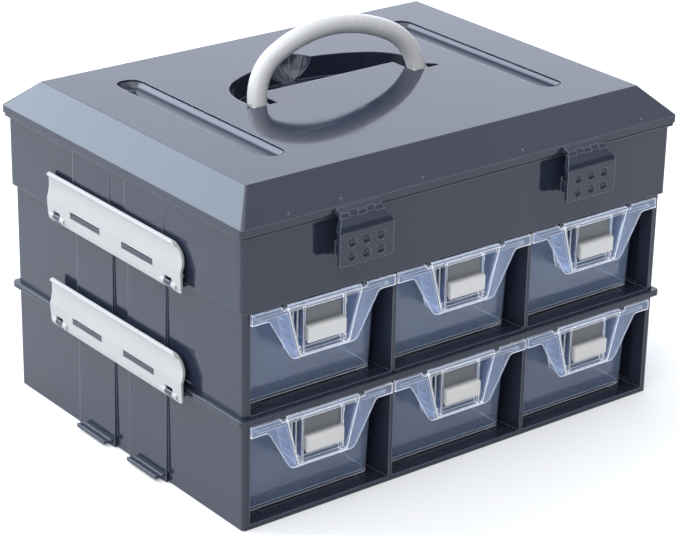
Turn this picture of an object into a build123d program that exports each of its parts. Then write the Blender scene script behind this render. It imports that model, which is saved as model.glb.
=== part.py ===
from build123d import *
import math
import os

# Carry-case parts organizer: two frames of sliding drawers under a deep top bin with a hinged
# lid. Millimetres, +Z up, drawers and latches face -Y, base on Z = 0, middle of the frames on X = Y = 0.

os.makedirs("parts", exist_ok=True)

# ---------------------------------------------------------------- driving dimensions
FRAME_W, FRAME_D, FRAME_R = 368.0, 280.0, 2.5      # drawer frame, outside
TIER_H = 80.0                                      # one frame, and the step from tier to tier
FLOOR_T, BACK_T, SIDE_T, DIVIDER_T = 2.6, 2.6, 3.0, 3.0
BAY_W = 117.0                                      # clear width of a drawer bay
BAY_COUNT = 3
RAIL_H = 1.0                                       # front bead and runners above the floor
BEAD_D = 9.0                                       # depth of the front bead
HEADER_H, HEADER_D = 4.3, 6.0                      # bar over the drawers
LIP_OUT, LIP_BELOW, LIP_ABOVE, LIP_R, LIP_EDGE_R = 3.75, 2.4, 2.4, 3.5, 0.8   # locating lip round the lower frame
NEST_GAP = 0.35                                    # play between stacked modules

BOX_WALL, BOX_FLOOR, BOX_H = 2.4, 2.4, 54.3        # top bin, height from its floor
BOX_R, BOX_IN_R = 3.5, 1.5                         # bin corners, outside and inside
SKIRT_DROP, SKIRT_GAP = 2.0, 0.3                   # bin skirt over the frame below
BOX_LIP_OUT, BOX_LIP_H, BOX_LIP_TOP = 2.6, 2.1, 51.6

LID_GAP, LID_WALL = 0.6, 2.7                       # lid skirt round the bin
LID_REST = 0.3                                     # lid rim above the bin lip
LID_RIM_H, LID_H = 5.6, 25.1                       # rim band and whole lid
LID_R, LID_IN_R, LID_TOP_R = 3.0, 3.5, 1.5          # lid corners, outside, inside and flat top
LID_INSET_X, LID_INSET_Y = 19.3, 22.7              # bevel, from rim to flat top
LID_T = 2.5
GROOVE_W, GROOVE_L, GROOVE_DEPTH, GROOVE_X = 20.5, 184.0, 6.0, 122.0
GROOVE_WALL = 1.8                                  # upright rim of a groove, over its round floor

HANDLE_R = 7.0                                     # half thickness of the round bar
HANDLE_HALF, HANDLE_APEX = 71.0, 49.0              # bar centre: half span, height over pivot
HANDLE_LEG, HANDLE_BEND = 4.0, 36.5                # straight leg, shoulder radius
HANDLE_LEAN = 15.7                                 # degrees that it leans back as it stands
HANDLE_SINK = 8.0                                  # pivot below the lid top
PIN_R, RUN_FIT, PRESS_FIT = 2.5, 0.05, 0.02
FOOT_PLAY, RECESS_PLAY, RECESS_BACK, RECESS_DEPTH = 3.5, 1.5, 6.0, 16.5
RECESS_LEG, RECESS_BEND = 10.0, 42.0               # plan of the recess, as the handle's arch
RECESS_FRONT, RECESS_NOSE = 16.0, 8.0              # straight front edge, slot ahead of a foot
SCOOP_R, SCOOP_LIFT, SCOOP_IN = 20.0, 3.0, 5.0     # finger scoop: ball, lift over the lid, overlap
SCOOP_RIB, SCOOP_RIBS = 1.2, 5

HINGE_X, HINGE_LEN, HINGE_R, HINGE_PIN_R = 110.0, 56.0, 3.2, 1.25
HINGE_OUT = 3.6                                    # hinge axis behind the lid rim
KNUCKLE_GAP = 0.4

LATCH_X, LATCH_TOP_W, LATCH_W, LATCH_DROP = 98.5, 34.6, 44.4, 32.2
LATCH_OUT, LATCH_T, LATCH_AXIS_OUT, LATCH_BARREL_R = 11.0, 2.6, 3.6, 2.0
LATCH_BEND = 8.0                                   # drop of the sloped part
LATCH_PIN_R, LATCH_SEGMENTS = 0.8, 5
DIMPLE_R, DIMPLE_DEPTH, DIMPLE_STEP_X, DIMPLE_STEP_Z = 3.4, 1.6, 11.9, 9.8
KEEPER_W, KEEPER_OUT, KEEPER_H = 30.0, 6.3, 4.4    # catch block on the bin
HOOK_GAP = 0.3

SIDE_Y = 2.0                                       # middle of clips, lugs and panels
LUG_Y, LUG_L, LUG_OUT = 32.2, 35.0, 8.0
LUG_LOW, LUG_HIGH = 1.8, 4.6                       # lug shelf above its module's base
PANEL_W, PANEL_FOOT, PANEL_HEAD = 45.5, 2.2, 1.0   # raised panels, drafted
CLIP_OUT, CLIP_T, CLIP_TOP, CLIP_DROP = 8.8, 2.0, 26.0, 8.0
CLIP_BACK, CLIP_FRONT = 81.5, 83.4                 # ends behind and ahead of the clip's middle
CLIP_CORNER_Y, CLIP_CORNER_Z, CLIP_END_R = 17.0, 14.0, 3.0
CLIP_WAIST, CLIP_BEAD_R = 2.3, 1.2                 # hollow of the finger grip, rolled top edge
SLOT_L, SLOT_LOW, SLOT_HIGH = 37.6, 1.2, 6.3
TAB_Y, TAB_W, TAB_GAP = 68.7, 7.7, 0.4
CLIP_AXIS_Z, CLIP_PIN_R, CLIP_BOSS_R = -4.5, 1.5, 2.6

DRAWER_PLAY = 0.2                                  # drawer bottom above the runners
DRAWER_HEAD_W, DRAWER_FOOT_W = 112.6, 106.6
DRAWER_SETBACK, DRAWER_BACK_GAP, DRAWER_DRAFT = 14.0, 5.0, 2.5
DRAWER_ROOM, DRAWER_WALL, DRAWER_R = 4.1, 1.7, 5.0     # room between drawer and header
RIM_OUT, RIM_H = 1.3, 1.8
FLANGE_W, FLANGE_T, FLANGE_BELOW, FLANGE_GAP = 117.6, 1.8, 4.7, 0.3   # flange below the tier's top
FLANGE_END_H, FLANGE_SHOULDER = 7.2, 45.0
FLANGE_TOE_W, FLANGE_DEPTH = 53.0, 39.0
POCKET_HEAD_W, POCKET_FOOT_W = 58.4, 39.6
POCKET_BELOW, POCKET_DEPTH = 2.3, 34.8             # pocket's head below the flange's, and its height
POCKET_WALL = 1.6
NOTCH_X, NOTCH_R, BUMP_R, BUMP_LIFT = 32.5, 2.7, 1.8, 0.6
RIDGE = 0.9                                        # fine bead round the pocket and flange edges

CATCH_W, CATCH_PLAY, CATCH_WALL = 30.6, 0.4, 2.2
CATCH_FOOT, CATCH_BLOCK_H, CATCH_HEAD = 7.8, 11.3, 0.7   # foot over the pocket's, block, head below the flange's
CATCH_PROUD, CATCH_STEP = 3.1, 5.2                 # block in front of the flange, plate set back from it

# ---------------------------------------------------------------- derived places
FRONT = -FRAME_D / 2
SIDE = FRAME_W / 2
BAY_PITCH = BAY_W + DIVIDER_T
BAY_MIDDLES = [(i - (BAY_COUNT - 1) / 2) * BAY_PITCH for i in range(BAY_COUNT)]
BOX_BASE = 2 * TIER_H
BOX_W = FRAME_W + 2 * (SKIRT_GAP + BOX_WALL)
BOX_D = FRAME_D + 2 * (SKIRT_GAP + BOX_WALL)
LID_W = BOX_W + 2 * (LID_GAP + LID_WALL)
LID_D = BOX_D + 2 * (LID_GAP + LID_WALL)
LID_BASE = BOX_BASE + BOX_LIP_TOP + LID_REST
LID_TOP = LID_BASE + LID_H
PIVOT_Z = LID_TOP - HANDLE_SINK
HINGE_Y, HINGE_Z = LID_D / 2 + HINGE_OUT, LID_BASE - 0.9
LATCH_Y, LATCH_Z = -LID_D / 2 - LATCH_AXIS_OUT, LID_BASE - 0.3
CLIP_AXIS_OUT = CLIP_OUT - CLIP_T
FLANGE_BACK = FRONT - FLANGE_GAP
FLANGE_FRONT = FLANGE_BACK - FLANGE_T
RUNNER_TOP = FLOOR_T + RAIL_H
DRAWER_TOP = TIER_H - HEADER_H - DRAWER_ROOM
FLANGE_TOP = TIER_H - FLANGE_BELOW
POCKET_HEAD = FLANGE_TOP - POCKET_BELOW
POCKET_FOOT = POCKET_HEAD - POCKET_DEPTH
CATCH_LOW = POCKET_FOOT + CATCH_FOOT
CATCH_LEDGE = CATCH_LOW + CATCH_BLOCK_H
CATCH_HIGH = FLANGE_TOP - CATCH_HEAD


# ---------------------------------------------------------------- helpers
def block(x, y, z):
    """Box between two corners, each axis given as (low, high)."""
    size = [hi - lo for lo, hi in (x, y, z)]
    middle = [(hi + lo) / 2 for lo, hi in (x, y, z)]
    return Pos(*middle) * Box(*size)


def prism(width, depth, radius, low, high):
    """Upright block with rounded vertical corners, centred on the Z axis."""
    return Pos(0, 0, low) * extrude(RectangleRounded(width, depth, radius), high - low)


def along_x(face_points, x0, x1):
    """Closed outline given as (y, z) points, run from x0 to x1."""
    face = make_face(Polyline(*face_points, close=True))
    return Pos(x0, 0, 0) * extrude(Plane.YZ * face, x1 - x0)


def along_y(face, y0, y1):
    """Face drawn in (x, z), run from y0 to y1."""
    return Pos(0, y0, 0) * extrude(Plane.XZ * face, y0 - y1)


def outline(*points):
    return make_face(Polyline(*points, close=True))


def rod_x(radius, x0, x1, y, z):
    return Pos((x0 + x1) / 2, y, z) * Rot(0, 90, 0) * Cylinder(radius, x1 - x0)


def rod_y(radius, y0, y1, x, z):
    return Pos(x, (y0 + y1) / 2, z) * Rot(90, 0, 0) * Cylinder(radius, y1 - y0)


def both_sides(shape):
    return shape + mirror(shape, about=Plane.YZ)


def save(shape, node):
    solids = shape.solids()
    whole = solids[0] if len(solids) == 1 else Compound(children=list(solids))
    whole.label = node
    export_step(whole, f"parts/{node}.step")
    print(node, len(solids), "solid(s)", round(sum(s.volume for s in solids)), "mm3")


# ---------------------------------------------------------------- features shared by the modules
def lugs(base, wall_out):
    """Stacking lugs on the +X wall: shelves with an upturned edge, base at the module's seat."""
    root, tip = wall_out - 1.0, LUG_OUT
    middle, sag = (root + tip) / 2 + 0.6, LUG_HIGH - 1.1
    shelf = make_face(
        Polyline((root, LUG_HIGH + 1.2), (root, LUG_LOW), (tip, LUG_LOW), (tip, LUG_HIGH), (tip - 0.9, LUG_HIGH))
        + ThreePointArc((tip - 0.9, LUG_HIGH), (middle, sag), (root, LUG_HIGH + 1.2))
    )
    one = Pos(SIDE, 0, base) * along_y(shelf, -LUG_L / 2, LUG_L / 2)
    return Pos(0, SIDE_Y - LUG_Y, 0) * one + Pos(0, SIDE_Y + LUG_Y, 0) * one


def panels(base, low, high, wall_out):
    """Drafted raised panels on the +X wall above the lugs."""
    def proud(z):
        return wall_out + PANEL_FOOT + (PANEL_HEAD - PANEL_FOOT) * z / TIER_H

    face = outline((wall_out - 1, low), (proud(low), low), (proud(high), high), (wall_out - 1, high))
    one = Pos(SIDE, 0, base) * along_y(face, -PANEL_W / 2, PANEL_W / 2)
    return Pos(0, SIDE_Y - LUG_Y, 0) * one + Pos(0, SIDE_Y + LUG_Y, 0) * one


def hinge_tabs(seat):
    """Snap-in eyes for the side clip on the +X wall, under the seat at the top of a frame."""
    eye_r = CLIP_BOSS_R + 0.2
    arm_top, arm_foot = -SKIRT_DROP - NEST_GAP, CLIP_AXIS_Z - eye_r - 1.2
    tip = CLIP_AXIS_OUT + CLIP_PIN_R + 0.6
    arm = outline((-1, arm_foot), (tip - 1, arm_foot), (tip, arm_foot + 1), (tip, arm_top - 0.6),
                  (tip - 0.6, arm_top), (-1, arm_top))
    tab = along_y(arm, -TAB_W / 2, TAB_W / 2)
    tab -= rod_y(CLIP_PIN_R + RUN_FIT, -TAB_W, TAB_W, CLIP_AXIS_OUT, CLIP_AXIS_Z)
    mouth = block((-CLIP_PIN_R * 0.8, CLIP_PIN_R * 0.8), (-TAB_W, TAB_W), (-2 * eye_r, 0))
    tab -= Pos(CLIP_AXIS_OUT, 0, CLIP_AXIS_Z) * Rot(0, -25, 0) * mouth
    tab = Pos(SIDE, 0, seat) * tab
    return Pos(0, SIDE_Y - TAB_Y, 0) * tab + Pos(0, SIDE_Y + TAB_Y, 0) * tab


# ---------------------------------------------------------------- drawer frames
def drawer_frame(base, with_lip):
    """Open-topped frame with one bay for each drawer; the lower one carries the locating lip."""
    top = base + TIER_H
    whole = prism(FRAME_W, FRAME_D, FRAME_R, base, top)
    frame = whole
    rear = FRAME_D / 2 - BACK_T
    for middle in BAY_MIDDLES:
        bay = (middle - BAY_W / 2, middle + BAY_W / 2)
        frame -= block(bay, (FRONT - 1, rear), (base + FLOOR_T, top + 1))
    post = 12.0
    for side in (-1, 1):
        x = sorted((side * (BAY_MIDDLES[-1] + BAY_W / 2 - 1), side * (SIDE - SIDE_T)))
        frame -= block(x, (FRONT + post, rear), (base + FLOOR_T + RAIL_H, top + 1))
    inside = SIDE - SIDE_T
    header = block((-inside, inside), (FRONT, FRONT + HEADER_D), (top - HEADER_H, top))
    bead = block((-inside, inside), (FRONT, FRONT + BEAD_D), (base + 1, base + RUNNER_TOP))
    frame += header + bead
    for middle in BAY_MIDDLES:
        for side in (-1, 1):
            runner_x = middle + side * (DRAWER_FOOT_W / 2 - 10)
            runner = block((runner_x - 2, runner_x + 2), (FRONT + BEAD_D, rear), (base + 1, base + RUNNER_TOP))
            bump_x = middle + side * NOTCH_X
            bump = rod_y(BUMP_R, FLANGE_FRONT + 0.3, FRONT + 2, bump_x, base + FLANGE_TOP + BUMP_LIFT)
            frame += runner + bump
    if with_lip:
        ring_w, ring_d = FRAME_W + 2 * LIP_OUT, FRAME_D + 2 * LIP_OUT
        ring = prism(ring_w, ring_d, LIP_R, top - LIP_BELOW, top + LIP_ABOVE)
        ring = fillet(ring.edges().filter_by(Plane.XY), LIP_EDGE_R)
        nest = (FRAME_W + 2 * NEST_GAP, FRAME_D + 2 * NEST_GAP, FRAME_R + NEST_GAP)
        ring -= prism(*nest, top, top + LIP_ABOVE + 1)
        ring -= prism(FRAME_W - 2, FRAME_D - 2, FRAME_R - 1, top - LIP_BELOW - 1, top + 1)
        gap = PANEL_W / 2 + 1
        for y in (SIDE_Y - LUG_Y, SIDE_Y + LUG_Y):
            ring -= block((-SIDE - 20, SIDE + 20), (y - gap, y + gap), (top, top + LIP_ABOVE + 1))
        frame += ring
    low = 0 if with_lip else LIP_ABOVE + 0.4
    high = TIER_H - (LIP_BELOW - 0.4 if with_lip else SKIRT_DROP)
    fittings = lugs(base, 0) + panels(base, low, high, 0) + hinge_tabs(top)
    if with_lip:
        high_clear = block((SIDE + NEST_GAP, SIDE + 20), (-FRAME_D, FRAME_D), (top, top + 20))
        fittings -= high_clear
    frame += both_sides(fittings)
    dent = Pos(0, 0, base + 4.4) * Rot(0, 90, 0) * Cylinder(3.4, 2 * (SIDE + 10))
    dent -= block((-SIDE + 1.4, SIDE - 1.4), (-FRAME_D, FRAME_D), (base - 5, base + 20))
    for y in (SIDE_Y - LUG_Y, SIDE_Y + LUG_Y):
        at = Pos(0, y - PANEL_W / 2 - 0.6, 0) * dent
        frame -= at - block((-SIDE - 20, SIDE + 20), (y - PANEL_W / 2, y + PANEL_W / 2), (base - 5, base + 20))
    return frame


# ---------------------------------------------------------------- top bin
def top_bin():
    floor_z = BOX_BASE + BOX_FLOOR
    rim_z = BOX_BASE + BOX_H
    box = prism(BOX_W, BOX_D, BOX_R, BOX_BASE - SKIRT_DROP, rim_z)
    box -= prism(BOX_W - 2 * BOX_WALL, BOX_D - 2 * BOX_WALL, BOX_IN_R, floor_z, rim_z + 1)
    box -= prism(FRAME_W + 2 * SKIRT_GAP, FRAME_D + 2 * SKIRT_GAP, FRAME_R, BOX_BASE - SKIRT_DROP - 1, BOX_BASE)
    lip_top = BOX_BASE + BOX_LIP_TOP
    lip = prism(BOX_W + 2 * BOX_LIP_OUT, BOX_D + 2 * BOX_LIP_OUT, BOX_R, lip_top - BOX_LIP_H, lip_top)
    lip = fillet(lip.edges().filter_by(Plane.XY), 0.6)
    box += lip - prism(BOX_W - 2, BOX_D - 2, BOX_R - 1, lip_top - BOX_LIP_H - 1, lip_top + 1)
    out = SKIRT_GAP + BOX_WALL
    fittings = lugs(BOX_BASE, out - 0.5) + panels(BOX_BASE, -SKIRT_DROP, lip_top - BOX_BASE - 1, out - 1.2)
    box += both_sides(fittings - block((0, SIDE + out - 1), (-FRAME_D, FRAME_D), (0, LID_TOP)))
    keeper_top = LATCH_Z - LATCH_DROP + 2.4 + KEEPER_H + 0.4
    wall = -BOX_D / 2
    keeper = [(wall + 1, keeper_top + 6), (wall - 0.2, keeper_top + 6), (wall - KEEPER_OUT, keeper_top),
              (wall - KEEPER_OUT, keeper_top - KEEPER_H), (wall + 1, keeper_top - KEEPER_H)]
    for side in (-1, 1):
        x = side * LATCH_X
        box += along_x(keeper, x - KEEPER_W / 2, x + KEEPER_W / 2)
    return box + bin_knuckles()


def knuckle(x0, x1, arm_y, arm_z):
    """Hinge knuckle between x0 and x1 with an arm block down or up to its moulding."""
    lug = rod_x(HINGE_R, x0, x1, HINGE_Y, HINGE_Z) + block((x0, x1), (arm_y, HINGE_Y), arm_z)
    return lug - rod_x(HINGE_PIN_R + RUN_FIT, x0 - 1, x1 + 1, HINGE_Y, HINGE_Z)


def bin_knuckles():
    third = HINGE_LEN / 3
    arm = (HINGE_Z - HINGE_R, HINGE_Z)
    both = None
    for side in (-1, 1):
        x = side * HINGE_X
        for x0 in (x - HINGE_LEN / 2, x + HINGE_LEN / 2 - third):
            one = knuckle(x0, x0 + third, BOX_D / 2 - 0.5, arm)
            both = one if both is None else both + one
    return both


# ---------------------------------------------------------------- lid
def arch_face(half, leg, bend, apex, base):
    """Closed arch in (x, y): straight legs from base, shoulder arcs, and a crown arc tangent to both."""
    return make_face(arch_line(half, leg, bend, apex, base) + Line((-half, base), (half, base)))


def arch_line(half, leg, bend, apex, base):
    inner = half - bend
    rise = apex - leg - bend
    turn = math.pi / 2 - 2 * math.atan(rise / inner)
    reach = inner / math.cos(turn)
    crown = (0, apex)

    def shoulder(angle):
        return inner + bend * math.cos(angle), leg + bend * math.sin(angle)

    right = [shoulder(turn), shoulder(turn / 2), shoulder(0)]
    left = [(-x, y) for x, y in right]
    quarter = (math.pi / 2 + turn) / 2
    centre_y, big = leg - reach * math.sin(turn), bend + reach
    side = (big * math.cos(quarter), centre_y + big * math.sin(quarter))
    return (Line((-half, base), (-half, leg)) + ThreePointArc(left[2], left[1], left[0])
            + ThreePointArc(left[0], crown, right[0]) + ThreePointArc(right[0], right[1], right[2])
            + Line((half, leg), (half, base)))


def recess_face(wall=0.0):
    """Plan of the pocket that the folded handle drops into, or of its wall's outside."""
    half = HANDLE_HALF + HANDLE_R + RECESS_PLAY + wall
    apex = HANDLE_APEX + HANDLE_R + RECESS_BACK + wall
    foot_in = HANDLE_HALF - HANDLE_R - FOOT_PLAY - wall
    foot_out = HANDLE_HALF + HANDLE_R + 2 * FOOT_PLAY + wall
    nose = -RECESS_NOSE - wall
    plan = arch_face(half, RECESS_LEG, RECESS_BEND + wall, apex, nose)
    plan -= Pos(0, RECESS_FRONT - wall - 50) * Rectangle(2 * foot_in, 100)
    for side in (-1, 1):
        nick = [(HANDLE_HALF, nose), (foot_out - 1, nose), (foot_out, nose + 2.5), (half, 0), (HANDLE_HALF, 0)]
        plan += outline(*[(side * x, y) for x, y in nick])
    return plan


def scoop_ball(radius):
    """Ball of the finger scoop behind the middle of the recess."""
    middle = HANDLE_APEX + HANDLE_R + RECESS_BACK - SCOOP_IN
    return Pos(0, middle, LID_TOP + SCOOP_LIFT) * Sphere(radius)


def scoop_ribs():
    """Thin grip ribs that fan out on the scoop's bowl, from its middle to its back rim."""
    middle = HANDLE_APEX + HANDLE_R + RECESS_BACK - SCOOP_IN
    fan = None
    for i in range(SCOOP_RIBS):
        turn = (i - (SCOOP_RIBS - 1) / 2) * 30
        blade = block((-0.4, 0.4), (SCOOP_R * 0.3, SCOOP_R + 0.6), (LID_TOP - SCOOP_R, LID_TOP - 1.5))
        blade = Pos(0, middle, 0) * Rot(0, 0, turn) * blade
        fan = blade if fan is None else fan + blade
    return (fan & scoop_ball(SCOOP_R + 0.6)) - scoop_ball(SCOOP_R - SCOOP_RIB)


def capsule(radius, length, z):
    """Round-ended bar along Y, used for the long grooves."""
    half = length / 2
    return rod_y(radius, -half, half, 0, z) + Pos(0, -half, z) * Sphere(radius) + Pos(0, half, z) * Sphere(radius)


def lid():
    rim_top = LID_BASE + LID_RIM_H
    flat_w, flat_d = LID_W - 2 * LID_INSET_X, LID_D - 2 * LID_INSET_Y
    shell = prism(LID_W, LID_D, LID_R, LID_BASE, rim_top)
    rim_face = Pos(0, 0, rim_top) * RectangleRounded(LID_W, LID_D, LID_R)
    top_face = Pos(0, 0, LID_TOP) * RectangleRounded(flat_w, flat_d, LID_TOP_R)
    shell += loft([rim_face, top_face])
    shell = fillet(shell.edges().group_by(Axis.Z)[-1], 0.8)
    shell = fillet(shell.edges().group_by(Axis.Z)[0], 0.6)
    in_w, in_d = LID_W - 2 * LID_WALL, LID_D - 2 * LID_WALL
    step = LID_BASE + 3.1
    under = LID_TOP - LID_T
    hollow = prism(in_w, in_d, LID_IN_R, LID_BASE - 1, step)
    hollow += loft([Pos(0, 0, step) * RectangleRounded(in_w, in_d, LID_IN_R),
                    Pos(0, 0, under) * RectangleRounded(flat_w - 3, flat_d - 3, LID_TOP_R)])
    body = shell - hollow

    chord, sag = GROOVE_W / 2, GROOVE_DEPTH - GROOVE_WALL
    radius = (chord**2 + sag**2) / (2 * sag)
    inner_l = GROOVE_L - GROOVE_W
    centre_z = LID_TOP - GROOVE_DEPTH + radius
    pan = capsule(radius + LID_T, inner_l, centre_z) & block((-40, 40), (-200, 200), (LID_BASE, LID_TOP - 1))
    cut = capsule(radius, inner_l, centre_z) & block((-40, 40), (-200, 200), (LID_BASE, LID_TOP - GROOVE_WALL))
    cut += prism(GROOVE_W, GROOVE_L, chord - 0.01, LID_TOP - GROOVE_WALL, LID_TOP + 1)
    for side in (-1, 1):
        body += Pos(side * GROOVE_X, 0, 0) * pan
    for side in (-1, 1):
        body -= Pos(side * GROOVE_X, 0, 0) * cut

    plan = recess_face()
    floor_z = LID_TOP - RECESS_DEPTH
    wall = 2.2
    outer = recess_face(wall)
    body += Pos(0, 0, floor_z - wall) * extrude(outer, RECESS_DEPTH + wall - 1)
    body += scoop_ball(SCOOP_R + wall) & block((-40, 40), (0, 120), (floor_z - wall, LID_TOP - 1))
    foot_in = HANDLE_HALF - HANDLE_R - FOOT_PLAY
    foot_out = HANDLE_HALF + HANDLE_R + 2 * FOOT_PLAY
    boss_l, boss_r = 4.4, PIN_R + 2.6
    for side in (-1, 1):
        for x0, x1 in ((foot_in - boss_l, foot_in), (foot_out - 1, foot_out + boss_l)):
            lo, hi = sorted((side * x0, side * x1))
            body += rod_x(boss_r, lo, hi, 0, PIVOT_Z)
    body -= Pos(0, 0, floor_z) * extrude(plan, RECESS_DEPTH + 5)
    body -= scoop_ball(SCOOP_R) & block((-40, 40), (0, 120), (floor_z, LID_TOP + 30))
    apex = HANDLE_APEX + HANDLE_R + RECESS_BACK
    body += scoop_ribs() & block((-40, 40), (apex - 1, 120), (floor_z, LID_TOP))
    for side in (-1, 1):
        lo, hi = sorted((side * (foot_in - 3), side * (foot_out + 3)))
        body -= rod_x(PIN_R + PRESS_FIT, lo, hi, 0, PIVOT_Z)

    third = HINGE_LEN / 3
    arm = (HINGE_Z, HINGE_Z + HINGE_R)
    for side in (-1, 1):
        x = side * HINGE_X
        body += knuckle(x - third / 2 + KNUCKLE_GAP, x + third / 2 - KNUCKLE_GAP, LID_D / 2 - 0.5, arm)
        body += Pos(side * LATCH_X, 0, 0) * latch_shelf()
    for index, x in enumerate((-151, -109, -41, 47, 158)):
        slope = 0.12 + 0.02 * (index % 2)
        z = rim_top + slope * (LID_TOP - rim_top)
        body += Pos(x, -LID_D / 2 + slope * LID_INSET_Y, z) * Sphere(1.1)
    return body


def segment_spans():
    """X spans of the latch hinge: even ones belong to the lid, odd ones to the latch."""
    step = LATCH_TOP_W / LATCH_SEGMENTS
    return [(-LATCH_TOP_W / 2 + i * step, -LATCH_TOP_W / 2 + (i + 1) * step) for i in range(LATCH_SEGMENTS)]


def latch_shelf():
    """Hinge strip on the lid rim with its knuckles."""
    rim = -LID_D / 2
    strip = [(rim + 0.5, LID_BASE + 0.2), (rim + 0.5, LID_BASE + LID_RIM_H - 1.4), (rim - 0.4, LID_BASE + LID_RIM_H - 1.4),
             (LATCH_Y - 0.8, LATCH_Z + LATCH_BARREL_R), (LATCH_Y + 1.2, LATCH_Z + 0.6)]
    shelf = along_x(strip, -LATCH_TOP_W / 2, LATCH_TOP_W / 2)
    for index, (x0, x1) in enumerate(segment_spans()):
        if index % 2:
            shelf -= rod_x(LATCH_BARREL_R + 0.35, x0 - 0.2, x1 + 0.2, LATCH_Y, LATCH_Z)
        else:
            shelf += rod_x(LATCH_BARREL_R, x0, x1, LATCH_Y, LATCH_Z)
    for index, (x0, x1) in enumerate(segment_spans()):
        if index % 2:
            shelf -= rod_x(LATCH_BARREL_R + 0.35, x0 - 0.2, x1 + 0.2, LATCH_Y, LATCH_Z)
    return shelf - rod_x(LATCH_PIN_R + PRESS_FIT, -LATCH_TOP_W, LATCH_TOP_W, LATCH_Y, LATCH_Z)


# ---------------------------------------------------------------- lid latch
def latch():
    """Bent plate that hangs from the lid strip, with grip dimples and a hook behind its lower edge."""
    out = -LID_D / 2 - LATCH_OUT
    low, bend = LATCH_Z - LATCH_DROP, LATCH_Z - LATCH_BEND
    inner = out + LATCH_T
    start, ease = LATCH_Y - LATCH_BARREL_R * 0.95, 4.0
    curve = ThreePointArc((out + 0.42 * ease, bend + 0.62 * ease), (out + 0.08 * ease, bend - 0.2 * ease), (out, bend - ease))
    hollow_top = (LATCH_Y - 0.2, LATCH_Z - LATCH_BARREL_R + 0.3)
    section = make_face(
        Line((start, LATCH_Z - 0.3), (out + 0.42 * ease, bend + 0.62 * ease)) + curve
        + Polyline((out, bend - ease), (out, low), (inner, low), (inner, bend - ease), hollow_top,
                   (LATCH_Y, LATCH_Z), (start, LATCH_Z - 0.3))
    )
    plate = Pos(-LATCH_W / 2, 0, 0) * extrude(Plane.YZ * section, LATCH_W)
    head, half = LATCH_TOP_W / 2, LATCH_W / 2
    front = outline((-head, LATCH_Z + 3), (-head, LATCH_Z), (-half, bend), (-half, low), (half, low),
                    (half, bend), (head, LATCH_Z), (head, LATCH_Z + 3))
    low_corners = front.vertices().group_by(Axis.Y)[0]
    front = fillet(low_corners, 2.4)
    plate &= along_y(front, out - 5, LATCH_Y + 20)
    for index, (x0, x1) in enumerate(segment_spans()):
        if index % 2:
            plate += rod_x(LATCH_BARREL_R, x0 + 0.15, x1 - 0.15, LATCH_Y, LATCH_Z)
        else:
            plate -= rod_x(LATCH_BARREL_R + 0.35, x0 - 0.15, x1 + 0.15, LATCH_Y, LATCH_Z)
    hook_tip = -BOX_D / 2 - KEEPER_OUT - HOOK_GAP
    hook = [(inner - 0.5, low + 0.6), (hook_tip, low + 1.2), (hook_tip, low + 2.4), (inner - 0.5, low + 3.4)]
    plate += along_x(hook, -KEEPER_W / 2 - 1, KEEPER_W / 2 + 1)
    ball = (DIMPLE_R**2 + DIMPLE_DEPTH**2) / (2 * DIMPLE_DEPTH)
    for row in range(2):
        for column in (-1, 0, 1):
            z = low + 5.6 + row * DIMPLE_STEP_Z
            plate -= Pos(column * DIMPLE_STEP_X, out - ball + DIMPLE_DEPTH, z) * Sphere(ball)
    return plate - rod_x(LATCH_PIN_R + RUN_FIT, -LATCH_TOP_W, LATCH_TOP_W, LATCH_Y, LATCH_Z)


# ---------------------------------------------------------------- carry handle
def handle():
    arch = arch_line(HANDLE_HALF, HANDLE_LEG, HANDLE_BEND, HANDLE_APEX, 0)
    path = Pos(0, 0, PIVOT_Z) * (Plane.XZ * Wire(arch.edges()))
    start = path.position_at(0)
    bar = sweep(Plane(origin=start, z_dir=path.tangent_at(0)) * Circle(HANDLE_R), path=path)
    for side in (-1, 1):
        x = side * HANDLE_HALF
        bar += rod_x(HANDLE_R, x - HANDLE_R + 0.6, x + HANDLE_R - 0.6, 0, PIVOT_Z)
    for side in (-1, 1):
        x = side * HANDLE_HALF
        bar -= rod_x(PIN_R + RUN_FIT, x - 2 * HANDLE_R, x + 2 * HANDLE_R, 0, PIVOT_Z)
    return Pos(0, 0, PIVOT_Z) * Rot(-HANDLE_LEAN, 0, 0) * Pos(0, 0, -PIVOT_Z) * bar


def handle_pins():
    foot_in = HANDLE_HALF - HANDLE_R - FOOT_PLAY
    foot_out = HANDLE_HALF + HANDLE_R + 2 * FOOT_PLAY
    pin = rod_x(PIN_R, foot_in - 2.8, foot_out + 2.8, 0, PIVOT_Z)
    return Compound(children=[pin, mirror(pin, about=Plane.YZ)])


# ---------------------------------------------------------------- side clip
def clip_section():
    """Cross-section of the clip in (out, z): a flat foot, a hollow finger grip and a rolled top edge."""
    belly, waist_z, top = SLOT_HIGH + 1.2, CLIP_TOP * 0.62, CLIP_TOP - CLIP_BEAD_R
    outer, inner = CLIP_OUT, CLIP_OUT - CLIP_T
    head = outer - CLIP_WAIST
    grip = ThreePointArc((outer, belly), (head + 0.15, waist_z), (head + 0.2, top))
    back = ThreePointArc((head + 0.2 - CLIP_T, top), (head + 0.15 - CLIP_T, waist_z), (inner, belly))
    face = make_face(
        Polyline((inner, belly), (inner, -CLIP_DROP), (outer - 1.4, -CLIP_DROP), (outer - 0.5, -CLIP_DROP + 4), (outer, belly))
        + grip + Line((head + 0.2, top), (head + 0.2 - CLIP_T, top)) + back
    )
    bead = Pos(head + 0.2 - CLIP_T + CLIP_BEAD_R, top) * Circle(CLIP_BEAD_R)
    roll = Pos(head + 0.3, top - 0.4) * Circle(CLIP_BEAD_R)
    return face + bead + roll


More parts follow.
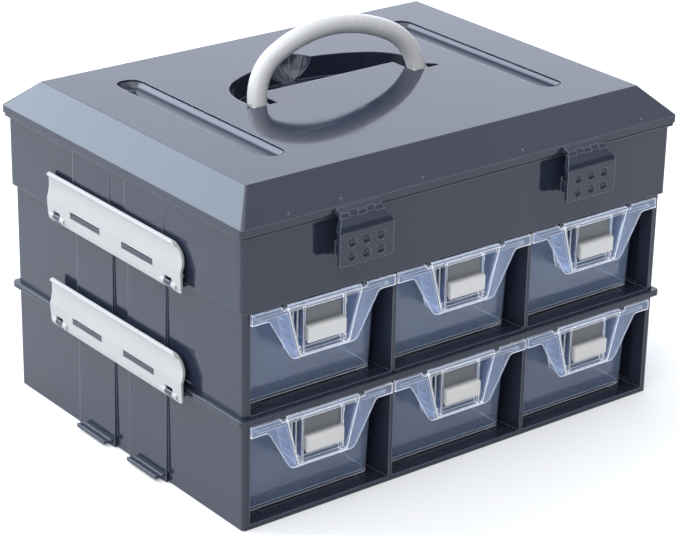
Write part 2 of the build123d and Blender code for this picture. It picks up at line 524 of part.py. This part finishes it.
def clip():
    """Clip on the +X side of the seat at Z = 0, hinged near its lower edge."""
    z_low, z_top = -CLIP_DROP, CLIP_TOP
    plate = along_y(clip_section(), -100, 100)
    reach, corner_y, corner_z = CLIP_FRONT, CLIP_CORNER_Y, CLIP_CORNER_Z
    bulge = 1 - math.sqrt(0.5)
    side = make_face(
        Polyline((-reach, z_low), (CLIP_BACK - 1.5, z_low), (CLIP_BACK, z_top), (-reach + corner_y, z_top))
        + ThreePointArc((-reach + corner_y, z_top), (-reach + bulge * corner_y, z_top - bulge * corner_z), (-reach, z_top - corner_z))
        + Line((-reach, z_top - corner_z), (-reach, z_low))
    )
    side = fillet(side.vertices().group_by(Axis.Y)[0], CLIP_END_R)
    plate &= Pos(-5, 0, 0) * extrude(Plane.YZ * side, 30)
    for middle in (-LUG_Y, LUG_Y):
        plate -= block((0, 30), (middle - SLOT_L / 2, middle + SLOT_L / 2), (SLOT_LOW, SLOT_HIGH))
    notch = TAB_W / 2 + TAB_GAP
    for middle in (-TAB_Y, TAB_Y):
        plate += rod_y(CLIP_BOSS_R, middle - notch - 5, middle + notch + 5, CLIP_AXIS_OUT, CLIP_AXIS_Z)
        plate -= block((-5, 30), (middle - notch, middle + notch), (z_low - 5, 0.2))
        plate += rod_y(CLIP_PIN_R, middle - notch - 1, middle + notch + 1, CLIP_AXIS_OUT, CLIP_AXIS_Z)
    return Pos(SIDE, SIDE_Y, 0) * plate


# ---------------------------------------------------------------- drawer
def drawer():
    """Clear drawer for the bay at X = 0 of a frame whose base is Z = 0."""
    low, top = RUNNER_TOP + DRAWER_PLAY, DRAWER_TOP
    front, back = FRONT + DRAWER_SETBACK, FRAME_D / 2 - BACK_T - DRAWER_BACK_GAP
    middle, depth = (front + back) / 2, back - front

    def shell(inset, z0, z1):
        feet = Pos(0, middle, z0) * RectangleRounded(DRAWER_FOOT_W - 2 * inset, depth - DRAWER_DRAFT - 2 * inset, DRAWER_R - inset)
        head = Pos(0, middle, z1) * RectangleRounded(DRAWER_HEAD_W - 2 * inset, depth - 2 * inset, DRAWER_R - inset)
        return loft([feet, head])

    body = shell(0, low, top)
    rim_size = (DRAWER_HEAD_W + 2 * RIM_OUT, depth + 2 * RIM_OUT, DRAWER_R + RIM_OUT)
    body += Pos(0, middle, top - RIM_H) * extrude(RectangleRounded(*rim_size), RIM_H)
    back_face = FLANGE_BACK
    body += block((-FLANGE_SHOULDER - 8, FLANGE_SHOULDER + 8), (back_face - 0.5, front + 2), (top - RIM_H, top))
    body -= shell(DRAWER_WALL, low + DRAWER_WALL, top + 0.01)

    end_low, toe = FLANGE_TOP - FLANGE_END_H, FLANGE_TOE_W / 2
    toe_z, half = FLANGE_TOP - FLANGE_DEPTH, FLANGE_W / 2
    plate = outline((-half, FLANGE_TOP), (-half, end_low), (-FLANGE_SHOULDER, end_low), (-toe, toe_z), (toe, toe_z),
                    (FLANGE_SHOULDER, end_low), (half, end_low), (half, FLANGE_TOP))
    plate = fillet(plate.vertices().group_by(Axis.Y)[0], 6)
    knees = [v for v in plate.vertices() if abs(abs(v.X) - FLANGE_SHOULDER) < 0.01]
    plate = fillet(knees, 4)
    for side in (-1, 1):
        plate -= Pos(side * NOTCH_X, FLANGE_TOP) * Circle(NOTCH_R)
    head, foot = POCKET_HEAD_W / 2, POCKET_FOOT_W / 2
    opening = outline((-head, POCKET_HEAD), (-foot, POCKET_FOOT), (foot, POCKET_FOOT), (head, POCKET_HEAD))
    ring = offset(opening, POCKET_WALL, kind=Kind.INTERSECTION) - opening
    ring &= Pos(0, (top + 20) / 2) * Rectangle(200, top - 20)
    body += along_y(plate - opening, FLANGE_FRONT, back_face)
    body += along_y(ring, FLANGE_FRONT, front + 1.2)
    bead = (offset(opening, RIDGE) - opening) & Rectangle(200, 2 * (POCKET_HEAD - 0.1))
    body += along_y(bead, FLANGE_FRONT - 0.5, FLANGE_FRONT + 0.5)
    step_z = POCKET_FOOT + 3.2
    body += block((-foot - 0.5, foot + 0.5), (FLANGE_FRONT + 3.5, front + 1), (POCKET_FOOT - 0.5, step_z))

    guide = CATCH_W / 2 + CATCH_PLAY
    plate_y = FLANGE_FRONT - CATCH_PROUD + CATCH_STEP
    body -= block((-guide, guide), (plate_y - CATCH_PLAY, plate_y + CATCH_WALL + CATCH_PLAY), (step_z + 1, top + 1))
    for side in (-1, 1):
        wall = sorted((side * guide, side * (guide + 1.4)))
        body += block(wall, (FLANGE_FRONT + 0.8, front + 1), (POCKET_FOOT - 0.5, top))
        for rib in (1, 2, 3, 4):
            x = side * (guide + 1.4 + rib * 2.1)
            lowest = POCKET_FOOT + (POCKET_HEAD - POCKET_FOOT) * max(0, abs(x) - foot) / (head - foot)
            body += block((x - 0.45, x + 0.45), (FLANGE_FRONT + 2.5 + 2 * rib, front + 1), (lowest - 1, top))
    return body


def catch():
    """White drawer catch that slides down in the pocket: thumb block below, set-back plate above."""
    half = CATCH_W / 2
    face = FLANGE_FRONT - CATCH_PROUD
    plate_y = face + CATCH_STEP
    back = FRONT + DRAWER_SETBACK - 0.6
    ledge, neck = CATCH_LEDGE, plate_y - 1.5
    profile = make_face(
        Polyline((face + 0.5, CATCH_LOW), (face, CATCH_LOW + 1), (face, ledge - 1.5))
        + ThreePointArc((face, ledge - 1.5), (face + 0.45, ledge - 0.4), (face + 1.5, ledge))
        + Line((face + 1.5, ledge), (neck, ledge + 0.4))
        + ThreePointArc((neck, ledge + 0.4), (plate_y - 0.4, ledge + 0.9), (plate_y, ledge + 2))
        + Polyline((plate_y, ledge + 2), (plate_y, CATCH_HIGH), (plate_y + CATCH_WALL, CATCH_HIGH),
                   (plate_y + CATCH_WALL, ledge - CATCH_WALL), (face + CATCH_WALL, ledge - CATCH_WALL),
                   (face + CATCH_WALL, CATCH_LOW), (face + 0.5, CATCH_LOW))
    )
    body = Pos(-half, 0, 0) * extrude(Plane.YZ * profile, CATCH_W)
    for side in (-1, 1):
        x = sorted((side * (half - 1.6), side * half))
        body += block(x, (face + 1, plate_y + 1), (CATCH_LOW + 1, ledge - 1))
        body += block(x, (plate_y + 1, back), (ledge - 2, DRAWER_TOP - RIM_H - 0.6))
    return body


# ---------------------------------------------------------------- write every piece
save(drawer_frame(0, True), "lower_frame")
save(drawer_frame(TIER_H, False), "upper_frame")
save(top_bin(), "top_bin")
save(lid(), "lid")
save(handle(), "handle")
save(handle_pins(), "handle_pins")

hinge_pin = rod_x(HINGE_PIN_R, -HINGE_LEN / 2 + 0.5, HINGE_LEN / 2 - 0.5, HINGE_Y, HINGE_Z)
latch_pin = rod_x(LATCH_PIN_R, -LATCH_TOP_W / 2 + 0.5, LATCH_TOP_W / 2 - 0.5, LATCH_Y, LATCH_Z)
for name, side in (("left", -1), ("right", 1)):
    save(Pos(side * HINGE_X, 0, 0) * hinge_pin, f"lid_hinge_pin_{name}")
    save(Pos(side * LATCH_X, 0, 0) * latch_pin, f"latch_pin_{name}")
    save(Pos(side * LATCH_X, 0, 0) * latch(), f"latch_{name}")

right_clip = clip()
for tier, seat in (("lower", TIER_H), ("upper", 2 * TIER_H)):
    save(Pos(0, 0, seat) * right_clip, f"clip_right_{tier}")
    save(Pos(0, 0, seat) * mirror(right_clip, about=Plane.YZ), f"clip_left_{tier}")

one_drawer, one_catch = drawer(), catch()
for tier, base in (("lower", 0), ("upper", TIER_H)):
    for name, x in zip(("left", "middle", "right"), BAY_MIDDLES):
        save(Pos(x, 0, base) * one_drawer, f"drawer_{tier}_{name}")
        save(Pos(x, 0, base) * one_catch, f"drawer_catch_{tier}_{name}")
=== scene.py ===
# %% [markdown]
# # A carry-case parts organizer
# Two frames of clear sliding drawers carry a deep top bin. White clips on the sides tie the
# three levels together, and a lid with a round carry handle closes the bin. The moulded
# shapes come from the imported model. This lesson gives them the finishes of real moulded
# plastic, and then sets up a pale product studio around them.

import math

import bpy
import numpy as np
from mathutils import Euler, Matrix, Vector


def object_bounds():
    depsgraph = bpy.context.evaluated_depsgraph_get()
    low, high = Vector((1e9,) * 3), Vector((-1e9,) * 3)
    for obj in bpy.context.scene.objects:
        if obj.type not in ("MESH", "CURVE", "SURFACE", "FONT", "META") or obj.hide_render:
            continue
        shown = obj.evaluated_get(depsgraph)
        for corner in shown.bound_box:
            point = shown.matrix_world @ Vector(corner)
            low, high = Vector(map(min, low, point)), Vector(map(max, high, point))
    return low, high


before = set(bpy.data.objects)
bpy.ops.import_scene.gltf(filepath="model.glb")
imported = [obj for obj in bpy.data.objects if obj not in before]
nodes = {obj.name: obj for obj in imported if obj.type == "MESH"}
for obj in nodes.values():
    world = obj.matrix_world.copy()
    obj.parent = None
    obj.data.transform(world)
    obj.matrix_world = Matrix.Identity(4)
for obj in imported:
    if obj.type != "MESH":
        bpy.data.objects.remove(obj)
cad_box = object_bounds()
print(len(nodes), "moulded pieces, box", cad_box)


# %% [markdown]
# ## A small helper for shader nodes
# A material is a graph of nodes. Adding a node, setting its plain values and joining its
# inputs is always the same three steps, so one helper does them and the graphs below read
# like short recipes. A colour mix numbers its sockets, so those three numbers get names.

# %% Helpers: one node in one line, and a colour mix
def add(tree, kind, inputs=None, **settings):
    """Add a node, set its options, then fill each named input with a value or a link."""
    node = tree.nodes.new(kind)
    for name, value in settings.items():
        setattr(node, name, value)
    for name, value in (inputs or {}).items():
        socket = node.inputs[name]
        if isinstance(value, bpy.types.NodeSocket):
            tree.links.new(value, socket)
        else:
            socket.default_value = value
    return node


MIX_A, MIX_B, MIX_OUT = 6, 7, 2   # the colour sockets of a Mix node


def mix_colour(tree, factor, first, second, **settings):
    """Mix two colours by a factor. Each colour is an (r, g, b) triple or a socket."""
    node = add(tree, "ShaderNodeMix", {"Factor": factor}, data_type="RGBA", **settings)
    for index, value in ((MIX_A, first), (MIX_B, second)):
        if isinstance(value, bpy.types.NodeSocket):
            tree.links.new(value, node.inputs[index])
        else:
            node.inputs[index].default_value = (*value, 1)
    return node.outputs[MIX_OUT]


# %% [markdown]
# ## Moulding marks
# Injection-moulded plastic is never one flat value. Slow flow marks change the gloss over
# some centimetres, a fine grain breaks the highlights up, and handling leaves small dull
# smears and a few hairline scratches. Every finish here shares these, so they are one node
# group: it gives a gloss change, a tint change and a bump height, all read from Object
# coordinates.

# %% Node group: moulding marks
FLOW_SIZE = 14.0     # noise scale of the flow marks
GRAIN_SHARE = 0.25   # height of the grain against the flow marks


def moulding_marks():
    """Slow noise stretched by flow, fine grain, smears and hairline scratches, as three masks."""
    tree = bpy.data.node_groups.new("moulding_marks", "ShaderNodeTree")
    tree.interface.new_socket("Grain Size", in_out="INPUT", socket_type="NodeSocketFloat")
    for label in ("Gloss", "Tint", "Height"):
        tree.interface.new_socket(label, in_out="OUTPUT", socket_type="NodeSocketFloat")
    source = tree.nodes.new("NodeGroupInput")
    sink = tree.nodes.new("NodeGroupOutput")
    place = add(tree, "ShaderNodeTexCoord").outputs["Object"]
    stretch = add(tree, "ShaderNodeMapping", {"Vector": place, "Scale": (1.0, 0.6, 2.4)})
    flow = add(tree, "ShaderNodeTexNoise",
               {"Vector": stretch.outputs[0], "Scale": FLOW_SIZE,
                "Detail": 3.0, "Roughness": 0.55, "Distortion": 0.6})
    grain = add(tree, "ShaderNodeTexNoise",
                {"Vector": place, "Scale": source.outputs["Grain Size"], "Detail": 2.0, "Roughness": 0.6})
    rub = add(tree, "ShaderNodeTexNoise", {"Vector": place, "Scale": 55.0, "Detail": 5.0, "Roughness": 0.7})
    smear = add(tree, "ShaderNodeMapRange",
                {"Value": rub.outputs["Fac"], "From Min": 0.52, "From Max": 0.74,
                 "To Min": 0.0, "To Max": 0.6})
    slant = add(tree, "ShaderNodeMapping",
                {"Vector": place, "Rotation": (0.4, 0.3, 0.7), "Scale": (9.0, 420.0, 60.0)})
    hair = add(tree, "ShaderNodeTexNoise", {"Vector": slant.outputs[0], "Scale": 1.0, "Detail": 1.0})
    scratch = add(tree, "ShaderNodeMapRange",
                  {"Value": hair.outputs["Fac"], "From Min": 0.72, "From Max": 0.80})
    wear_and_sheen = add(tree, "ShaderNodeMath", {0: smear.outputs[0], 1: scratch.outputs[0]}, operation="MAXIMUM")
    gloss = add(tree, "ShaderNodeMath", {0: flow.outputs["Fac"], 1: wear_and_sheen.outputs[0]}, operation="ADD")
    fine = add(tree, "ShaderNodeMath", {0: grain.outputs["Fac"], 1: GRAIN_SHARE}, operation="MULTIPLY")
    height = add(tree, "ShaderNodeMath", {0: flow.outputs["Fac"], 1: fine.outputs[0]}, operation="ADD")
    tree.links.new(gloss.outputs[0], sink.inputs["Gloss"])
    tree.links.new(flow.outputs["Fac"], sink.inputs["Tint"])
    tree.links.new(height.outputs[0], sink.inputs["Height"])
    return tree


MARKS = moulding_marks()
print("node group", MARKS.name, "with", len(MARKS.nodes), "nodes")


# %% [markdown]
# ## The finishes
# Five plastics and one metal. The slate plastic is dark with a hard gloss, so most of its
# brightness is the studio seen in it. The handle and clips are off-white and a little softer.
# The drawers are clear with a blue body colour. A moulded edge is never knife sharp, so each
# finish rounds the shading over a fraction of a millimetre. Beside an edge the rounded normal
# differs from the flat one, and that difference is the edge mask: it paints a lighter line into
# the base colour there, part rubbed wear and part painted highlight. Clear plastic carries light
# to its edges, which the shader does not work out by itself, so for that finish the same mask
# paints the edges white and makes them give off a strong white light of their own: a painted
# glow, which stays the same whatever the studio light is.

# %% Finish builder
EDGE_MASK_OFF, EDGE_MASK_FULL = 0.985, 0.86   # rounded normal against flat normal, as the cosine between them
SMOOTH_MARK, DULL_MARK = 0.2, 1.2  # gloss mask at the shiniest and the dullest place
RELIEF = 0.0004                    # height of the moulding marks, in metres


def finish(name, dark, light, gloss, rough, bump, wear_and_sheen, edge_share=0.35, edge=0.0005, painted_glow=0.0,
           grain=900.0, **shader):
    """A finish: dark to light with the tint mask, gloss to rough with the gloss mask, and lighter at edges,
    part rubbed wear and part painted highlight.
    """
    material = bpy.data.materials.new(name)
    material.use_nodes = True
    tree = material.node_tree
    surface = tree.nodes["Principled BSDF"]
    marks = add(tree, "ShaderNodeGroup", node_tree=MARKS)
    marks.inputs["Grain Size"].default_value = grain
    tint = mix_colour(tree, marks.outputs["Tint"], dark, light)
    rounded = add(tree, "ShaderNodeBevel", {"Radius": edge}, samples=4).outputs[0]
    flat = add(tree, "ShaderNodeNewGeometry").outputs["Normal"]
    agree = add(tree, "ShaderNodeVectorMath", {0: rounded, 1: flat}, operation="DOT_PRODUCT")
    edge_wear_and_highlight = add(tree, "ShaderNodeMapRange",
                 {"Value": agree.outputs["Value"], "From Min": EDGE_MASK_OFF, "From Max": EDGE_MASK_FULL,
                  "To Min": 0.0, "To Max": edge_share}).outputs[0]
    # the edge mask paints a lighter colour into the base colour: part rubbed wear, part painted highlight
    skin = mix_colour(tree, edge_wear_and_highlight, tint, wear_and_sheen)
    span = add(tree, "ShaderNodeMapRange",
               {"Value": marks.outputs["Gloss"], "From Min": SMOOTH_MARK, "From Max": DULL_MARK,
                "To Min": gloss, "To Max": rough})
    relief = add(tree, "ShaderNodeBump",
                 {"Height": marks.outputs["Height"], "Strength": bump, "Distance": RELIEF, "Normal": rounded})
    tree.links.new(skin, surface.inputs["Base Color"])
    # painted glow: the edges give off white light of their own, though no lamp is there
    if painted_glow:
        painted_edge_glow = mix_colour(tree, edge_wear_and_highlight, (0, 0, 0), wear_and_sheen)
        tree.links.new(painted_edge_glow, surface.inputs["Emission Color"])
        surface.inputs["Emission Strength"].default_value = painted_glow
    tree.links.new(span.outputs[0], surface.inputs["Roughness"])
    tree.links.new(relief.outputs[0], surface.inputs["Normal"])
    for label, value in shader.items():
        surface.inputs[label.replace("_", " ")].default_value = value
    print("finish", name)
    return material


# the lighter edge colour of each finish is part rubbed wear and part painted highlight
SLATE = finish("slate_plastic", (0.016, 0.020, 0.034), (0.021, 0.026, 0.043), 0.03, 0.14, 0.04,
               wear_and_sheen=(0.42, 0.47, 0.56), edge_share=0.45, edge=0.0008, IOR=1.44)
CLIP_WHITE = finish("clip_white_plastic", (0.33, 0.325, 0.32), (0.38, 0.373, 0.367), 0.26, 0.42, 0.10,
                    wear_and_sheen=(0.62, 0.63, 0.64), IOR=1.5)
HANDLE_WHITE = finish("handle_white_plastic", (0.48, 0.475, 0.47), (0.54, 0.534, 0.528), 0.20, 0.36, 0.08,
                      wear_and_sheen=(0.70, 0.70, 0.70), IOR=1.5)
CATCH_WHITE = finish("catch_white_plastic", (0.52, 0.515, 0.495), (0.59, 0.58, 0.56), 0.30, 0.48, 0.12,
                     wear_and_sheen=(0.90, 0.90, 0.88), IOR=1.5)
# the clear finish paints its edges fully white in the base colour, a painted highlight, and makes them glow
CLEAR = finish("clear_plastic", (0.50, 0.62, 0.87), (0.58, 0.69, 0.91), 0.02, 0.06, 0.002,
               wear_and_sheen=(1.0, 1.0, 1.0), edge_share=1.0, edge=0.0008, painted_glow=0.7, grain=260.0,
               IOR=1.45, Transmission_Weight=0.83)
STEEL = finish("pin_steel", (0.50, 0.50, 0.51), (0.62, 0.62, 0.63), 0.22, 0.42, 0.10,
               wear_and_sheen=(0.75, 0.75, 0.75), edge=0.0002, Metallic=1.0)

# %% [markdown]
# The upper half of a drawer catch sits back in its pocket, in shade, and looks greyer than the
# thumb block in front of it. That shade is painted into its colour: it is one piece in one
# finish, and a mask along Object Y darkens it with a painted shade.

# %% Painted shade on the back plate of the catches
def paint_shade_behind(material, start, full, shade):
    """Paint shade behind: multiply the base colour by a shade colour as Object Y goes from start to full, and
    behind that.
    """
    tree = material.node_tree
    surface = tree.nodes["Principled BSDF"]
    plain = surface.inputs["Base Color"].links[0].from_socket
    place = add(tree, "ShaderNodeTexCoord").outputs["Object"]
    depth = add(tree, "ShaderNodeSeparateXYZ", {0: place}).outputs["Y"]
    mask = add(tree, "ShaderNodeMapRange", {"Value": depth, "From Min": start, "From Max": full})
    darker = mix_colour(tree, mask.outputs[0], plain, shade, blend_type="MULTIPLY")
    tree.links.new(darker, surface.inputs["Base Color"])


SHADE_START, SHADE_FULL = -0.1438, -0.1405   # metres along Object Y, going from front to back
# the painted shade colour of the set-back plate
PLATE_PAINTED_SHADE = (0.19, 0.20, 0.22)
paint_shade_behind(CATCH_WHITE, SHADE_START, SHADE_FULL, PLATE_PAINTED_SHADE)
print("the catch turns greyer from Y =", SHADE_START)

# %% [markdown]
# ## Which piece gets which finish
# The names of the pieces start with what they are, so the longest matching start picks the
# finish: a drawer catch is not a drawer.

# %% Put each finish on its pieces
FINISHES = {"lower_frame": SLATE, "upper_frame": SLATE, "top_bin": SLATE, "lid": SLATE, "latch": SLATE,
            "latch_pin": STEEL, "lid_hinge_pin": STEEL, "handle_pins": STEEL, "handle": HANDLE_WHITE,
            "clip": CLIP_WHITE, "drawer": CLEAR, "drawer_catch": CATCH_WHITE}
for name, piece in nodes.items():
    stem = max((key for key in FINISHES if name.startswith(key)), key=len)
    for slot in piece.material_slots:
        slot.material = FINISHES[stem]
print("finished", len(nodes), "pieces")


# %% [markdown]
# ## The studio
# A glossy dark object shows its surroundings more than its own colour. It stands on a pale
# floor, which the upright sides mirror. The paper of the floor glows a little, so that the
# shadow under the case stays light.

# %% Floor
def floor_mesh(reach, steps):
    """A flat grid: x and y run over the square, and z is zero everywhere."""
    line = np.linspace(-reach, reach, steps)
    x, y = np.meshgrid(line, line, indexing="ij")
    points = np.stack([x, y, np.zeros_like(x)], axis=-1).reshape(-1, 3)
    corner = (np.arange(steps - 1)[:, None] * steps + np.arange(steps - 1)[None, :]).ravel()
    quads = np.stack([corner, corner + steps, corner + steps + 1, corner + 1], axis=1)
    mesh = bpy.data.meshes.new("floor")
    mesh.from_pydata(points.tolist(), [], quads.tolist())
    return mesh


FLOOR_REACH, FLOOR_STEPS = 9.0, 7   # metres from the middle, points along one side
FLOOR_DROP = 0.0002                 # metres below the case, so that no faces coincide
floor = bpy.data.objects.new("floor", floor_mesh(FLOOR_REACH, FLOOR_STEPS))
bpy.context.scene.collection.objects.link(floor)
floor.location.z = cad_box[0][2] - FLOOR_DROP
paper = bpy.data.materials.new("studio_paper")
paper.use_nodes = True
sheet = paper.node_tree.nodes["Principled BSDF"]
sheet.inputs["Base Color"].default_value = (0.62, 0.62, 0.62, 1)
sheet.inputs["Roughness"].default_value = 0.9
sheet.inputs["Emission Color"].default_value = (1, 1, 1, 1)
sheet.inputs["Emission Strength"].default_value = 0.24
floor.data.materials.append(paper)
print("floor at", round(floor.location.z, 5))


# %% [markdown]
# ## Light from all round
# The lid mirrors the upper right behind it, and its left bevel mirrors the upper left behind
# it, where the brightest glow is. Each glow is a soft round patch of the sky: it begins where
# the cosine between a direction and the middle of the patch passes a start, and it is full
# from a second, higher cosine on. The glows add to a dim even sky.

# %% Light all round
# Each row: direction of the middle, cosine at the start, cosine where it is full, colour.
GLOWS = (
    ((-0.39, 0.73, 0.56), 0.88, 0.965, (6.0, 6.9, 7.9)),     # behind, upper left: the brightest
    ((0.62, 0.74, 0.26), 0.72, 0.95, (1.48, 1.56, 1.80)),    # behind, right: wide and pale
    ((-0.90, -0.25, 0.45), 0.80, 0.95, (2.2, 2.28, 2.4)),    # left
    ((-0.25, 0.25, 0.93), 0.85, 0.96, (2.7, 2.7, 2.7)),      # overhead
    ((0.45, -0.30, 0.84), 0.80, 0.97, (1.0, 1.05, 1.2)),     # above, on the right
    ((-0.12, -0.42, 0.90), 0.85, 0.97, (1.9, 1.9, 1.9)),     # above, in front
)
DIM_SKY = (0.19, 0.20, 0.22, 1)

world = bpy.data.worlds.new("studio")
bpy.context.scene.world = world
world.use_nodes = True
sky = world.node_tree
toward = add(sky, "ShaderNodeTexCoord").outputs["Generated"]
even = add(sky, "ShaderNodeRGB")
even.outputs[0].default_value = DIM_SKY
glow_sum = even.outputs[0]
for axis, start, full, colour in GLOWS:
    unit = Vector(axis).normalized()
    facing = add(sky, "ShaderNodeVectorMath", {0: toward, 1: unit}, operation="DOT_PRODUCT")
    soft = add(sky, "ShaderNodeMapRange",
               {"Value": facing.outputs["Value"], "From Min": start, "From Max": full},
               interpolation_type="SMOOTHSTEP")
    lobe = add(sky, "ShaderNodeVectorMath", {0: colour, "Scale": soft.outputs[0]}, operation="SCALE")
    joined = add(sky, "ShaderNodeVectorMath", {0: glow_sum, 1: lobe.outputs[0]}, operation="ADD")
    glow_sum = joined.outputs[0]
sky.links.new(glow_sum, sky.nodes["Background"].inputs["Color"])
print("world light with", len(GLOWS), "glows")

# %% [markdown]
# ## Camera
# It looks down from the front left, through a long lens that keeps the perspective weak.

# %% Camera
LENS_MM, SENSOR_MM, FAR_M = 131.276, 36.0, 60.0
CAMERA_PLACE = (-1.0225, -1.3044, 0.8025)
CAMERA_TURN = (66.902, -1.035, -37.721)   # degrees about X, Y and Z

view = bpy.data.cameras.new("camera")
view.lens, view.sensor_width = LENS_MM, SENSOR_MM
view.clip_end = FAR_M
camera = bpy.data.objects.new("camera", view)
camera.location = CAMERA_PLACE
camera.rotation_euler = Euler([math.radians(angle) for angle in CAMERA_TURN], "XYZ")
bpy.context.scene.collection.objects.link(camera)
bpy.context.scene.camera = camera
bpy.context.scene.view_settings.view_transform = "Standard"
print("camera at", CAMERA_PLACE)

# %% [markdown]
# ## Last step
# The view layer is brought up to date.

# %% Update the view layer
bpy.context.view_layer.update()
